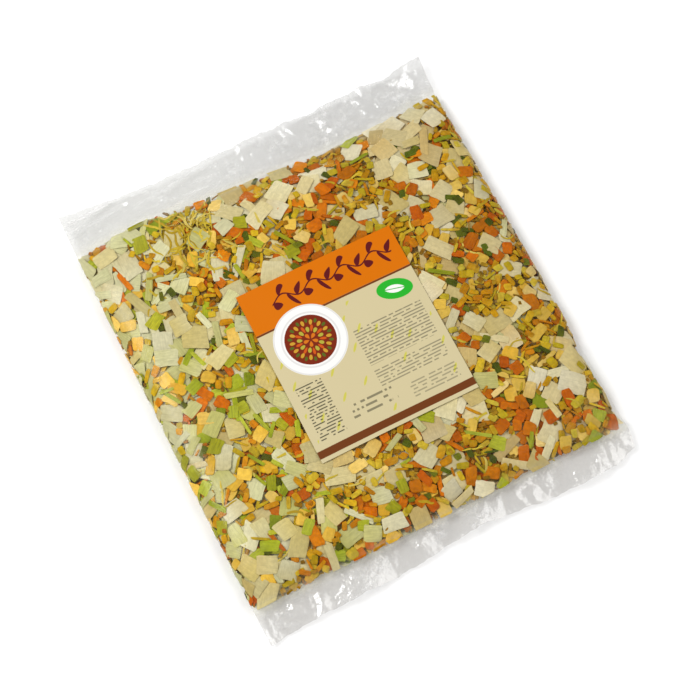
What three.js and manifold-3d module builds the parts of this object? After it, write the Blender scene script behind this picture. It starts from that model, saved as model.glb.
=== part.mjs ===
// A sealed bag of clear film, filled with dried soup vegetables and lying flat with its label up.
//
// Millimetres, +Z up. +X runs across the bag and +Y along it, from the near end seal to the far one.
// The origin is under the middle of the bag, on the surface that it lies on.
//
// There are two pieces:
//   bag    the filled film: a pillow with a flat underside, rolled sides and a thin wavy flap at each
//          end, with the flakes that press against the film standing out from its top and sides
//   label  the paper sticker on the pillow's crown

import * as THREE from "three";
import { mergeVertices } from "three/addons/utils/BufferGeometryUtils.js";
import Module from "manifold-3d";

const wasm = await Module();
wasm.setup();

// ---------- driving dimensions ----------

const BAG_WIDTH = 220;
const BAG_LENGTH = 257;
const PILLOW_HEIGHT = 15; // film to film at the crown
const NEAR_FLAP = 16.5; // empty film past the vegetables, at the near end
const FAR_FLAP = 22;
const FLAP_THICKNESS = 0.8;
const EDGE_HEIGHT = 5.2; // of the side edges and the flaps' roots

const TOP_ROLL = 17; // how far in from the side edges the top starts to roll down
const BOTTOM_ROLL = 11;
const TOP_SLOPE = 30; // how far in from the flaps the top starts to fall
const BOTTOM_SLOPE = 16;
const SLOPE_POWER = 2.2; // 1 is a straight slope, and more is a fuller shoulder
const SHOULDER_DROP = 1.6; // the crown's fall to the sides and ends
const LUMP = 0.35; // height of the pillow's long, low lumps

// Waves that run across the flaps: the height and length of each, and its phase in the middle.
const NEAR_FLUTES = [
  { height: 1.5, length: 72, phase: 0.6 },
  { height: 0.8, length: 33, phase: -1.1 },
];
const FAR_SWELL = [{ height: 0.9, length: 132, phase: 2.2 }];
const FAR_CRINKLES = [
  { height: 1.7, length: 51, phase: 0 },
  { height: 0.7, length: 24, phase: 0.5 },
];
const CRINKLED_FROM = -40; // the far flap's crinkles grow from here
const CRINKLED_TO = 90; // to here
const FLAP_DROOP = 1.4; // of the flaps' ends, below the side edges
const CORNER_LIFT = { left: 2.5, right: 4.5 }; // of the far flap's corners
const CORNER_WIDTH = 25;

// Round bulges that move an end of the film, or of its filling, out past the plain rectangle, or in.
const NEAR_END = [
  { out: 2, x: -110, width: 14 },
  { out: -4.2, x: 16, width: 34 },
  { out: -5.5, x: 113, width: 14 },
];
const FAR_END = [
  { out: 3.4, x: -104, width: 34 },
  { out: -0.6, x: -28, width: 25 },
];
const FAR_FILLING = [
  { out: 4.3, x: -70, width: 28 },
  { out: -3.4, x: 48, width: 45 },
];
const FILLING_REACH = 45; // how far into the bag the filling's bulges reach
const NEAR_DRAW_IN = { left: 0.5, right: 1.5 }; // how far the flaps' corners lie in from the side edges
const FAR_DRAW_IN = { left: 0.5, right: -1.5 };

const LABEL_WIDTH = 92;
const LABEL_LENGTH = 103;
const LABEL_X = 2;
const LABEL_Y = -8;
const LABEL_THICKNESS = 0.45;
const LABEL_GAP = 0.3; // between the film and the label

// The cuts in the mix: how often each occurs, its length and width, and how crooked its corners are.
const CUTS = [
  { share: 0.52, long: [9, 13], wide: [8, 11.5], crooked: 0.2 }, // leek and onion squares
  { share: 0.2, long: [11, 16], wide: [4.5, 6.5], crooked: 0.16 }, // strips
  { share: 0.28, long: [5.5, 8.5], wide: [4.5, 7], crooked: 0.3 }, // carrot pieces
];
const SIDE_CUT = { long: [6, 9], wide: [3.2, 4.6], crooked: 0.25 }; // what lies against a rolled side
const FLAKE_DEPTH = 2.6; // most of it sunk in the pillow
const FLAKE_PROUD = [0.35, 1.0]; // least and most that a flake stands out
const SIDE_PROUD = 0.45;
const FLAKE_TIP = 0.08; // radians
const FLAKE_PITCH = 13; // from one flake to the next in a row
const ROW_PITCH = 12;
const SIDE_PITCH = 12.5;
const PUSH = 2.5; // how far chance moves a flake off its place
const SIDE_INSET = 9; // keeps the rows clear of the rolled sides
const END_INSET = 7; // and of the flaps
const SIDE_END_INSET = 14;
const SEED = 20417;

const FLAT_STEPS = 10; // faces across the pillow's top
const ROLL_STEPS = 5; // and round each rolled side
const FLAP_STEPS = 5;
const SLOPE_STEPS = 5;
const BODY_STEPS = 7;
const LABEL_STEPS = [10, 11];

const HALF_LENGTH = BAG_LENGTH / 2;
const HALF_WIDTH = BAG_WIDTH / 2 - SIDE_PROUD; // of the film between its side flakes
const NEAR_FILL = -HALF_LENGTH + NEAR_FLAP; // where the vegetables end
const FAR_FILL = HALF_LENGTH - FAR_FLAP;

// ---------- small helpers ----------

const { clamp, lerp, smoothstep } = THREE.MathUtils;

// A repeatable source of numbers from 0 to 1.
function makeRandom(seed) {
  let state = seed;
  return () => {
    state = (state + 0x6d2b79f5) | 0;
    let t = Math.imul(state ^ (state >>> 15), 1 | state);
    t = (t + Math.imul(t ^ (t >>> 7), 61 | t)) ^ t;
    return ((t ^ (t >>> 14)) >>> 0) / 4294967296;
  };
}

const random = makeRandom(SEED);
const between = (low, high) => lerp(low, high, random());

// ---------- the film's form ----------

// How full the bag is across its width: 1 inside, and 0 at the side edge, by a quarter ellipse.
function roll(x, width) {
  const out = clamp((Math.abs(x) - (HALF_WIDTH - width)) / width, 0, 1);
  return Math.sqrt(1 - out * out);
}

// How full the bag is along its length: 1 inside, and 0 where the flaps begin.
function slope(y, length) {
  const inside = Math.min(y - NEAR_FILL, FAR_FILL - y);
  return 1 - Math.pow(1 - clamp(inside / length, 0, 1), SLOPE_POWER);
}

// How far out along a flap y is: 0 at its root, 1 at its end.
const alongNear = (y) => clamp((NEAR_FILL - y) / NEAR_FLAP, 0, 1);
const alongFar = (y) => clamp((y - FAR_FILL) / FAR_FLAP, 0, 1);

const bySide = ({ left, right }, x) => (x < 0 ? left : right);

function waves(list, x) {
  const turns = 2 * Math.PI * x;
  const heights = list.map(({ height, length, phase }) => height * Math.sin(turns / length + phase));
  return heights.reduce((sum, height) => sum + height, 0);
}

// The far flap is calm on its left and crinkled on its right, where its corner lifts.
function farFlutes(x) {
  const crinkles = smoothstep(x, CRINKLED_FROM, CRINKLED_TO) * waves(FAR_CRINKLES, x);
  const corner = smoothstep(Math.abs(x), HALF_WIDTH - CORNER_WIDTH, HALF_WIDTH);
  return waves(FAR_SWELL, x) + crinkles + corner * bySide(CORNER_LIFT, x);
}

// The height of the film's side edges and of the middle of its flaps. The waves grow along a flap.
function edgeHeight(x, y) {
  const near = alongNear(y);
  const far = alongFar(y);
  const droop = FLAP_DROOP * (near * near + far * far);
  return EDGE_HEIGHT - droop + near * waves(NEAR_FLUTES, x) + far * farFlutes(x);
}

// The pillow's own top, before its sides roll and its ends fall.
function crown(x, y) {
  const across = x / HALF_WIDTH;
  const along = y / HALF_LENGTH;
  const lumps = Math.sin(x / 17 + 1.3) * Math.sin(y / 21 - 0.4) + 0.6 * Math.sin((x + y) / 13);
  return PILLOW_HEIGHT - SHOULDER_DROP * (across * across + along * along) + LUMP * lumps;
}

function topHeight(x, y) {
  const full = roll(x, TOP_ROLL) * slope(y, TOP_SLOPE);
  return lerp(edgeHeight(x, y) + FLAP_THICKNESS / 2, crown(x, y), full);
}

function bottomHeight(x, y) {
  const full = roll(x, BOTTOM_ROLL) * slope(y, BOTTOM_SLOPE);
  return lerp(edgeHeight(x, y) - FLAP_THICKNESS / 2, 0, full);
}

function bulges(list, x) {
  const outs = list.map(({ out, x: middle, width }) => out * Math.exp(-Math.pow((x - middle) / width, 2)));
  return outs.reduce((sum, out) => sum + out, 0);
}

// Moves a point of the plain rectangle to where the film's outline has it.
function outline(x, y) {
  const near = alongNear(y);
  const far = alongFar(y);
  const filling = smoothstep(y, FAR_FILL - FILLING_REACH, FAR_FILL) * (1 - far);
  const outward = filling * bulges(FAR_FILLING, x) + far * bulges(FAR_END, x) - near * bulges(NEAR_END, x);
  const drawIn = bySide(NEAR_DRAW_IN, x) * Math.pow(near, 1.5) + bySide(FAR_DRAW_IN, x) * Math.pow(far, 1.5);
  return [x * (1 - drawIn / HALF_WIDTH), y + outward];
}

// ---------- solids from grids ----------

const range = (count, make) => Array.from({ length: count + 1 }, (_, i) => make(i / count));

// Positions across the bag: even inside, and at even angles round each rolled side.
function acrossPositions() {
  const inner = HALF_WIDTH - TOP_ROLL;
  const rolled = range(ROLL_STEPS, (t) => inner + TOP_ROLL * Math.sin((t * Math.PI) / 2)).slice(1);
  const flat = range(FLAT_STEPS, (t) => lerp(-inner, inner, t));
  return [...rolled.map((x) => -x).reverse(), ...flat, ...rolled];
}

// Positions along the bag, closer together in the flaps and slopes.
function alongPositions() {
  const stops = [
    [-HALF_LENGTH, NEAR_FILL, FLAP_STEPS],
    [NEAR_FILL, NEAR_FILL + TOP_SLOPE, SLOPE_STEPS],
    [NEAR_FILL + TOP_SLOPE, FAR_FILL - TOP_SLOPE, BODY_STEPS],
    [FAR_FILL - TOP_SLOPE, FAR_FILL, SLOPE_STEPS],
    [FAR_FILL, HALF_LENGTH, FLAP_STEPS],
  ];
  const placed = stops.flatMap(([from, to, steps]) => range(steps, (t) => lerp(from, to, t)).slice(1));
  return [-HALF_LENGTH, ...placed];
}

// A closed body between two sheets of points, each a list of rows that run across, from near to far.
function layered(underRows, overRows) {
  const rings = underRows.map((under, r) => [...under, ...[...overRows[r]].reverse()]);
  const size = rings[0].length;
  const last = (rings.length - 1) * size;
  const faces = [];
  const quad = (a, b, c, d) => faces.push(a, b, c, a, c, d);
  for (let start = 0; start < last; start += size) {
    for (let i = 0; i < size; i += 1) {
      const next = (i + 1) % size;
      quad(start + i, start + size + i, start + size + next, start + next);
    }
  }
  for (let i = 0; i < size / 2 - 1; i += 1) {
    const [over, overNext] = [size - 1 - i, size - 2 - i];
    quad(i, i + 1, overNext, over);
    quad(last + i, last + over, last + overNext, last + i + 1);
  }
  const geometry = new THREE.BufferGeometry();
  geometry.setAttribute("position", new THREE.Float32BufferAttribute(rings.flat(2), 3));
  return geometry.setIndex(faces);
}

function solidFrom(geometry) {
  const bare = geometry.index ? geometry.toNonIndexed() : geometry.clone();
  bare.deleteAttribute("normal");
  bare.deleteAttribute("uv");
  const merged = mergeVertices(bare, 1e-4);
  return new wasm.Manifold(
    new wasm.Mesh({
      numProp: 3,
      vertProperties: merged.attributes.position.array,
      triVerts: new Uint32Array(merged.index.array),
    }),
  );
}

function geometryFrom(solid) {
  const mesh = solid.getMesh();
  const geometry = new THREE.BufferGeometry();
  geometry.setAttribute("position", new THREE.BufferAttribute(mesh.vertProperties, 3));
  geometry.setIndex(new THREE.BufferAttribute(mesh.triVerts, 1));
  geometry.computeVertexNormals();
  return geometry;
}

// ---------- the filled film ----------

function pillow() {
  const across = acrossPositions();
  const sheet = (height) =>
    alongPositions().map((y) => across.map((x) => [...outline(x, y), height(x, y)]));
  return layered(sheet(bottomHeight), sheet(topHeight));
}

// ---------- the flakes that stand out ----------

function pickCut() {
  let left = random();
  return CUTS.find((cut) => (left -= cut.share) < 0) ?? CUTS[0];
}

// A crooked four-sided slab of a cut, its top at z = 0.
function flakeGeometry({ long, wide, crooked }) {
  const [halfLong, halfWide] = [between(...long) / 2, between(...wide) / 2];
  const corner = (u, v) => {
    const [inU, inV] = [crooked * random(), crooked * random()];
    return new THREE.Vector2(u * halfLong * (1 - inU), v * halfWide * (1 - inV));
  };
  const shape = new THREE.Shape([corner(-1, -1), corner(1, -1), corner(1, 1), corner(-1, 1)]);
  const slab = new THREE.ExtrudeGeometry(shape, { depth: FLAKE_DEPTH, bevelEnabled: false });
  return slab.translate(0, 0, -FLAKE_DEPTH);
}

// The film's outward direction at a place on its top.
function topNormal(x, y) {
  const step = 0.4;
  const riseX = (topHeight(x + step, y) - topHeight(x - step, y)) / (2 * step);
  const riseY = (topHeight(x, y + step) - topHeight(x, y - step)) / (2 * step);
  return new THREE.Vector3(-riseX, -riseY, 1).normalize();
}

// Sets a slab on the film with its top proud by the given height, turned by yaw and tipped a little.
function setFlake(geometry, x, y, proud, yaw, tip) {
  const normal = topNormal(x, y);
  const upright = new THREE.Quaternion().setFromUnitVectors(new THREE.Vector3(0, 0, 1), normal);
  const turned = new THREE.Quaternion().setFromEuler(new THREE.Euler(tip[0], tip[1], yaw));
  const place = new THREE.Vector3(...outline(x, y), topHeight(x, y)).addScaledVector(normal, proud);
  const matrix = new THREE.Matrix4().compose(place, upright.multiply(turned), new THREE.Vector3(1, 1, 1));
  return geometry.applyMatrix4(matrix);
}

// Whether a slab centred here would reach the label.
function reachesLabel(slab, x, y) {
  slab.computeBoundingSphere();
  const reach = slab.boundingSphere.radius;
  const besideX = Math.abs(x - LABEL_X) > LABEL_WIDTH / 2 + reach;
  const besideY = Math.abs(y - LABEL_Y) > LABEL_LENGTH / 2 + reach;
  return !besideX && !besideY;
}

// Flakes over the top, in staggered rows, each pushed off its place by chance.
function topFlakes() {
  const flakes = [];
  const reachX = HALF_WIDTH - SIDE_INSET;
  let stagger = 0;
  for (let row = NEAR_FILL + END_INSET; row <= FAR_FILL - END_INSET; row += ROW_PITCH) {
    stagger = FLAKE_PITCH / 2 - stagger;
    for (let place = stagger - reachX; place <= reachX; place += FLAKE_PITCH) {
      const x = clamp(place + between(-PUSH, PUSH), -reachX, reachX);
      const y = clamp(row + between(-PUSH, PUSH), NEAR_FILL + END_INSET, FAR_FILL - END_INSET);
      const slab = flakeGeometry(pickCut());
      const proud = between(...FLAKE_PROUD);
      const yaw = between(0, Math.PI);
      const tip = [between(-FLAKE_TIP, FLAKE_TIP), between(-FLAKE_TIP, FLAKE_TIP)];
      if (!reachesLabel(slab, x, y)) {
        flakes.push(setFlake(slab, x, y, proud, yaw, tip));
      }
    }
  }
  return flakes;
}

// Small flakes pressed flat against the rolled sides, with their length along the bag.
function sideFlakes() {
  const flakes = [];
  for (const side of [-1, 1]) {
    for (let y = NEAR_FILL + SIDE_END_INSET; y < FAR_FILL - SIDE_END_INSET; y += SIDE_PITCH) {
      const x = side * (HALF_WIDTH - between(1.3, 3));
      const yaw = Math.PI / 2 + between(-0.25, 0.25);
      flakes.push(setFlake(flakeGeometry(SIDE_CUT), x, y, SIDE_PROUD, yaw, [0, 0]));
    }
  }
  return flakes;
}

function bagGeometry() {
  const pieces = [pillow(), ...topFlakes(), ...sideFlakes()].map(solidFrom);
  return geometryFrom(wasm.Manifold.union(pieces));
}

// ---------- the label ----------

function labelGeometry() {
  const across = range(LABEL_STEPS[0], (t) => LABEL_X + LABEL_WIDTH * (t - 0.5));
  const along = range(LABEL_STEPS[1], (t) => LABEL_Y + LABEL_LENGTH * (t - 0.5));
  const sheet = (lift) => along.map((y) => across.map((x) => [x, y, topHeight(x, y) + lift]));
  return layered(sheet(LABEL_GAP), sheet(LABEL_GAP + LABEL_THICKNESS));
}

// ---------- the model ----------

const contents = new THREE.MeshStandardMaterial({ color: 0xcdb985, roughness: 0.5, metalness: 0 });
const paper = new THREE.MeshStandardMaterial({ color: 0xe6d8b8, roughness: 0.55, metalness: 0 });

function named(name, geometry, material) {
  const mesh = new THREE.Mesh(geometry, material);
  mesh.name = name;
  return mesh;
}

const model = new THREE.Group();
model.add(named("bag", bagGeometry(), contents));
model.add(named("label", labelGeometry(), paper));

export default model;
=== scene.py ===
"""A clear, sealed bag of dried soup vegetables with a paper label, on a pale floor.

Lengths are in millimetres until a mesh is made, in the CAD model's frame: +X across the bag, +Y along
it towards the far seal, +Z up. A place on the film is (u, y): u runs round the bag, from the middle of
the underside over the left side, the top and the right side, and is 0 in the middle of the top.
"""

import math
from functools import partialmethod

import bpy
import numpy as np
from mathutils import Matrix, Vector


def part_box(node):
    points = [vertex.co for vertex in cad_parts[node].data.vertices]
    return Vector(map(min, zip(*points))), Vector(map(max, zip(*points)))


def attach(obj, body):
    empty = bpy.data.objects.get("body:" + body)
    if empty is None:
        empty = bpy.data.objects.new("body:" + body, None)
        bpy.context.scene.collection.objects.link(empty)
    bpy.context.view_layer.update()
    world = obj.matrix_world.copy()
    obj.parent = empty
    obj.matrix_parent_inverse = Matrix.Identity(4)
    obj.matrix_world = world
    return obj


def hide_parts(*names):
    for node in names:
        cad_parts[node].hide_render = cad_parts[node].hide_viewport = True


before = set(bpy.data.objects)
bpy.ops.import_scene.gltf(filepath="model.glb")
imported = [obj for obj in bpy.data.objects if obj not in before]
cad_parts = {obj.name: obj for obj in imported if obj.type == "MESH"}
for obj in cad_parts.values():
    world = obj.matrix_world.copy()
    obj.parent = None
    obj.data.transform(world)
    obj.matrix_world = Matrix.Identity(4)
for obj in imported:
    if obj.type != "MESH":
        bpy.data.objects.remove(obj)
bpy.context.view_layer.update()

MM = 0.001
SEED = 5127


def box_mm(node):
    """A CAD node's lowest and highest corners, in millimetres."""
    low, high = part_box(node)
    return np.array(low) / MM, np.array(high) / MM


# ---------- driving dimensions, the same as the solid's ----------

LABEL_LOW, LABEL_HIGH = box_mm("label")

HALF_LENGTH = 128.5
HALF_WIDTH = 109.55
PILLOW_HEIGHT = 15.0
NEAR_FLAP = 16.5
FAR_FLAP = 22.0
EDGE_HEIGHT = 5.2
NEAR_FILL = -HALF_LENGTH + NEAR_FLAP
FAR_FILL = HALF_LENGTH - FAR_FLAP

TOP_ROLL = 17.0
BOTTOM_ROLL = 11.0
TOP_SLOPE = 30.0
BOTTOM_SLOPE = 16.0
SLOPE_POWER = 2.2
SHOULDER_DROP = 1.6
LUMP = 0.35

# Waves across the flaps: height, length and phase of each.
NEAR_FLUTES = [(1.5, 72.0, 0.6), (0.8, 33.0, -1.1)]
FAR_SWELL = [(0.9, 132.0, 2.2)]
FAR_CRINKLES = [(1.7, 51.0, 0.0), (0.7, 24.0, 0.5)]
CRINKLED_FROM, CRINKLED_TO = -40.0, 90.0
FLAP_DROOP = 1.4
CORNER_LIFT = (2.5, 4.5)  # of the far flap's left corner and of its right one
CORNER_WIDTH = 25.0

# Round bulges of the film's ends and of the filling: how far out, the x of the middle, and width.
NEAR_END = [(2.0, -110.0, 14.0), (-4.2, 16.0, 34.0), (-5.5, 113.0, 14.0)]
FAR_END = [(3.4, -104.0, 34.0), (-0.6, -28.0, 25.0)]
FAR_FILLING = [(4.3, -70.0, 28.0), (-3.4, 48.0, 45.0)]
FILLING_REACH = 45.0
NEAR_DRAW_IN = (0.5, 1.5)  # of the flap's left corner and of its right one
FAR_DRAW_IN = (0.5, -1.5)
DRAW_IN_POWER = 1.5

LABEL_X, LABEL_Y = (LABEL_LOW[:2] + LABEL_HIGH[:2]) / 2
LABEL_WIDTH, LABEL_LENGTH = LABEL_HIGH[:2] - LABEL_LOW[:2]
LABEL_THICKNESS = 0.22
LABEL_LIFT = 0.2  # of its underside above the pillow

FILM_GAP = 0.5  # between the two sheets of a flap


# ---------- small helpers ----------


def smoothstep(x, low, high):
    """0 below low, rising smoothly to 1 above high."""
    t = np.clip((x - low) / (high - low), 0, 1)
    return t * t * (3 - 2 * t)


def mix(a, b, t):
    return a + (b - a) * t


def linear(red, green, blue):
    """A colour of the screen, in 0 to 255, as the renderer's linear one."""
    c = np.array([red, green, blue]) / 255
    return np.where(c <= 0.04045, c / 12.92, ((c + 0.055) / 1.055) ** 2.4)


def waves(table, x):
    """A sum of waves, each given by its height, length and phase."""
    return sum(height * np.sin(2 * math.pi * x / length + phase) for height, length, phase in table)


def bulges(table, x):
    """A sum of round bulges, each given by its height, middle and width."""
    return sum(out * np.exp(-(((x - middle) / width) ** 2)) for out, middle, width in table)


def by_side(pair, x):
    """The first of a pair at the left, and the second at the right."""
    return np.where(x < 0, pair[0], pair[1])


def hills(rng, count, shortest, longest):
    """A smooth random field: a function of x and y, about -1 to 1, from waves in random directions."""
    turn = rng.uniform(0, 2 * math.pi, count)
    length = rng.uniform(shortest, longest, count)
    phase = rng.uniform(0, 2 * math.pi, count)

    def field(x, y):
        total = 0
        for a, l, p in zip(turn, length, phase):
            total = total + np.sin((x * math.cos(a) + y * math.sin(a)) * 2 * math.pi / l + p)
        return total / math.sqrt(count)

    return field


# ---------- the film's form, as the solid has it ----------


def roll(x, width):
    """How full the bag is across its width: 1, and down to 0 at its side edges."""
    out = np.clip((np.abs(x) - (HALF_WIDTH - width)) / width, 0, 1)
    return np.sqrt(1 - out * out)


def slope(y, length):
    """How full it is along its length: 1, and down to 0 at the filling's ends."""
    inside = np.minimum(y - NEAR_FILL, FAR_FILL - y)
    return 1 - (1 - np.clip(inside / length, 0, 1)) ** SLOPE_POWER


def along_near(y):
    """0 on the filling, rising to 1 at the near flap's end."""
    return np.clip((NEAR_FILL - y) / NEAR_FLAP, 0, 1)


def along_far(y):
    return np.clip((y - FAR_FILL) / FAR_FLAP, 0, 1)


def far_flutes(x):
    crinkles = smoothstep(x, CRINKLED_FROM, CRINKLED_TO) * waves(FAR_CRINKLES, x)
    corner = smoothstep(np.abs(x), HALF_WIDTH - CORNER_WIDTH, HALF_WIDTH)
    return waves(FAR_SWELL, x) + crinkles + corner * by_side(CORNER_LIFT, x)


def edge_height(x, y):
    """How high the film's edge and its flaps lie."""
    near, far = along_near(y), along_far(y)
    droop = FLAP_DROOP * (near * near + far * far)
    return EDGE_HEIGHT - droop + near * waves(NEAR_FLUTES, x) + far * far_flutes(x)


def crown(x, y):
    """How high the pillow's top is, with its gentle lumps."""
    across, along = x / HALF_WIDTH, y / HALF_LENGTH
    lumps = np.sin(x / 17 + 1.3) * np.sin(y / 21 - 0.4) + 0.6 * np.sin((x + y) / 13)
    return PILLOW_HEIGHT - SHOULDER_DROP * (across * across + along * along) + LUMP * lumps


def outline(x, y):
    """Moves a point of the plain rectangle to where the film's outline has it."""
    near, far = along_near(y), along_far(y)
    filling = smoothstep(y, FAR_FILL - FILLING_REACH, FAR_FILL) * (1 - far)
    outward = filling * bulges(FAR_FILLING, x) + far * bulges(FAR_END, x) - near * bulges(NEAR_END, x)
    draw_in = by_side(NEAR_DRAW_IN, x) * near**DRAW_IN_POWER + by_side(FAR_DRAW_IN, x) * far**DRAW_IN_POWER
    return x * (1 - draw_in / HALF_WIDTH), y + outward


# ---------- the way round the bag ----------


def quarter_length(width, height, steps=200):
    """Angles round a quarter ellipse, from its flat end, and the length of arc up to each."""
    angle = np.linspace(0, math.pi / 2, steps)
    piece = np.hypot(np.diff(width * np.sin(angle)), np.diff(height * np.cos(angle)))
    return angle, np.concatenate([[0], np.cumsum(piece)])


TOP_ANGLE, TOP_ARC = quarter_length(TOP_ROLL, PILLOW_HEIGHT - EDGE_HEIGHT)
BOTTOM_ANGLE, BOTTOM_ARC = quarter_length(BOTTOM_ROLL, EDGE_HEIGHT)
TOP_FLAT = HALF_WIDTH - TOP_ROLL  # u where the top starts to roll down
EDGE_U = TOP_FLAT + TOP_ARC[-1]  # u of the side edge
BOTTOM_U = EDGE_U + BOTTOM_ARC[-1]  # u where the underside is flat again
HALF_LOOP = BOTTOM_U + HALF_WIDTH - BOTTOM_ROLL
LOOP = 2 * HALF_LOOP


def round_bag(u):
    """For each u: the x across the bag, how full the bag is there, and whether it is on the top."""
    u = (u + HALF_LOOP) % LOOP - HALF_LOOP
    side, a = np.sign(u), np.abs(u)
    top_angle = np.interp(a - TOP_FLAT, TOP_ARC, TOP_ANGLE)
    bottom_angle = np.interp(BOTTOM_U - a, BOTTOM_ARC, BOTTOM_ANGLE)
    top_x = np.where(a < TOP_FLAT, a, TOP_FLAT + TOP_ROLL * np.sin(top_angle))
    low_flat = HALF_WIDTH - BOTTOM_ROLL
    bottom_x = np.where(a > BOTTOM_U, HALF_LOOP - a, low_flat + BOTTOM_ROLL * np.sin(bottom_angle))
    on_top = a <= EDGE_U
    full = np.where(on_top, np.cos(top_angle), np.cos(bottom_angle))
    return side * np.where(on_top, top_x, bottom_x), full, on_top


def film_base(u, y):
    """Points on the solid's surface at (u, y), as an array with x, y and z last."""
    x, full, on_top = round_bag(u)
    edge = edge_height(x, y)
    top = mix(edge + FILM_GAP / 2, crown(x, y), full * slope(y, TOP_SLOPE))
    bottom = mix(edge - FILM_GAP / 2, 0, full * slope(y, BOTTOM_SLOPE))
    px, py = outline(x, y)
    return np.stack(np.broadcast_arrays(px, py, np.where(on_top, top, bottom)), -1)


CELL = 0.5  # of the grid that the flakes are laid on
U_CELLS = int(round(LOOP / CELL))
Y_CELLS = int(round((FAR_FILL - NEAR_FILL) / CELL))
U_STEP = LOOP / U_CELLS
Y_STEP = (FAR_FILL - NEAR_FILL) / Y_CELLS
GRID_U = ((np.arange(U_CELLS) + 0.5) * U_STEP - HALF_LOOP)[:, None]
GRID_Y = (NEAR_FILL + (np.arange(Y_CELLS) + 0.5) * Y_STEP)[None, :]
GRID_X, GRID_FULL, GRID_TOP = (np.broadcast_to(a, (U_CELLS, Y_CELLS)) for a in round_bag(GRID_U))


def base_grid():
    """The surface and its outward normals over the whole grid."""
    places = film_base(GRID_U, GRID_Y)
    du = np.roll(places, -1, 0) - np.roll(places, 1, 0)
    dy = np.gradient(places, axis=1)
    normals = np.cross(du, dy)
    normals /= np.linalg.norm(normals, axis=-1, keepdims=True)
    return places, normals


BASE, NORMAL = base_grid()


def sample(grid, u, y):
    """A grid's values at places between its cells."""
    fu = ((u + HALF_LOOP) / U_STEP - 0.5) % U_CELLS
    fy = np.clip((y - NEAR_FILL) / Y_STEP - 0.5, 0, Y_CELLS - 1.001)
    iu, iy = np.floor(fu).astype(int) % U_CELLS, np.floor(fy).astype(int)
    tu, ty = fu - np.floor(fu), fy - iy
    if grid.ndim == 3:
        tu, ty = tu[..., None], ty[..., None]
    next_u = (iu + 1) % U_CELLS
    near = mix(grid[iu, iy], grid[next_u, iy], tu)
    far = mix(grid[iu, iy + 1], grid[next_u, iy + 1], tu)
    return mix(near, far, ty)


def off_film(u, y, out):
    """Points that stand off the surface at (u, y) by a distance, outwards."""
    return sample(BASE, u, y) + sample(NORMAL, u, y) * out[..., None]


# ---------- meshes ----------


def quads(index):
    """Faces over a grid of points' numbers."""
    corners = [index[:-1, :-1], index[1:, :-1], index[1:, 1:], index[:-1, 1:]]
    return np.stack(corners, -1).reshape(-1, 4)


def make_object(name, points, face_groups, uv=None, tint=None, sharp_angle=None):
    """A mesh object from points in millimetres and arrays of faces, each with its own number of corners."""
    mesh = bpy.data.meshes.new(name)
    points = points.reshape(-1, 3)
    sizes = np.concatenate([np.full(len(group), group.shape[1]) for group in face_groups])
    corners = np.concatenate([group.ravel() for group in face_groups])
    mesh.vertices.add(len(points))
    mesh.vertices.foreach_set("co", (points * MM).astype(np.float32).ravel())
    mesh.loops.add(len(corners))
    mesh.loops.foreach_set("vertex_index", corners.astype(np.int32))
    mesh.polygons.add(len(sizes))
    mesh.polygons.foreach_set("loop_start", (np.cumsum(sizes) - sizes).astype(np.int32))
    mesh.update(calc_edges=True)
    mesh.polygons.foreach_set("use_smooth", np.ones(len(sizes), bool))
    if uv is not None:
        layer = mesh.uv_layers.new(name="UVMap")
        layer.data.foreach_set("uv", uv[corners].astype(np.float32).ravel())
    if tint is not None:
        colours = mesh.color_attributes.new("tint", "FLOAT_COLOR", "POINT")
        opaque = np.column_stack([tint, np.ones(len(tint))])
        colours.data.foreach_set("color", opaque.astype(np.float32).ravel())
    if sharp_angle is not None:
        mesh.set_sharp_from_angle(angle=math.radians(sharp_angle))
    made = bpy.data.objects.new(name, mesh)
    bpy.context.scene.collection.objects.link(made)
    return made


def add_piece(made, material, slot, *replaced):
    """Gives a piece its material, puts it under the root and hides the CAD nodes that it stands for; slot is
    not used.
    """
    made.data.materials.append(material)
    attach(made, "root")
    if replaced:
        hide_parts(*replaced)
    return made


# ---------- materials ----------


class Field:
    """A number that a material works out at each point, so that its shapes are written as formulas."""

    def __init__(self, tree, socket):
        self.tree = tree
        self.socket = socket

    def math(self, operation, *others):
        node = self.tree.nodes.new("ShaderNodeMath")
        node.operation = operation
        for value, port in zip((self, *others), node.inputs):
            if isinstance(value, Field):
                self.tree.links.new(value.socket, port)
            else:
                port.default_value = value
        return Field(self.tree, node.outputs[0])

    __add__ = partialmethod(math, "ADD")
    __sub__ = partialmethod(math, "SUBTRACT")
    __mul__ = partialmethod(math, "MULTIPLY")
    __truediv__ = partialmethod(math, "DIVIDE")
    __pow__ = partialmethod(math, "POWER")
    __abs__ = partialmethod(math, "ABSOLUTE")
    most = partialmethod(math, "MAXIMUM")
    fraction = partialmethod(math, "FRACT")
    whole = partialmethod(math, "FLOOR")
    sine = partialmethod(math, "SINE")

    def rest(self):
        """1 less the number."""
        return (self * -1) + 1

    def ramp(self, low, high):
        """0 below low and 1 above high, or the other way round if low is the larger."""
        node = self.tree.nodes.new("ShaderNodeMapRange")
        node.interpolation_type = "SMOOTHSTEP"
        self.tree.links.new(self.socket, node.inputs["Value"])
        node.inputs["From Min"].default_value = min(low, high)
        node.inputs["From Max"].default_value = max(low, high)
        node.inputs["To Min"].default_value = 0 if low < high else 1
        node.inputs["To Max"].default_value = 1 if low < high else 0
        return Field(self.tree, node.outputs["Result"])


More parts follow.
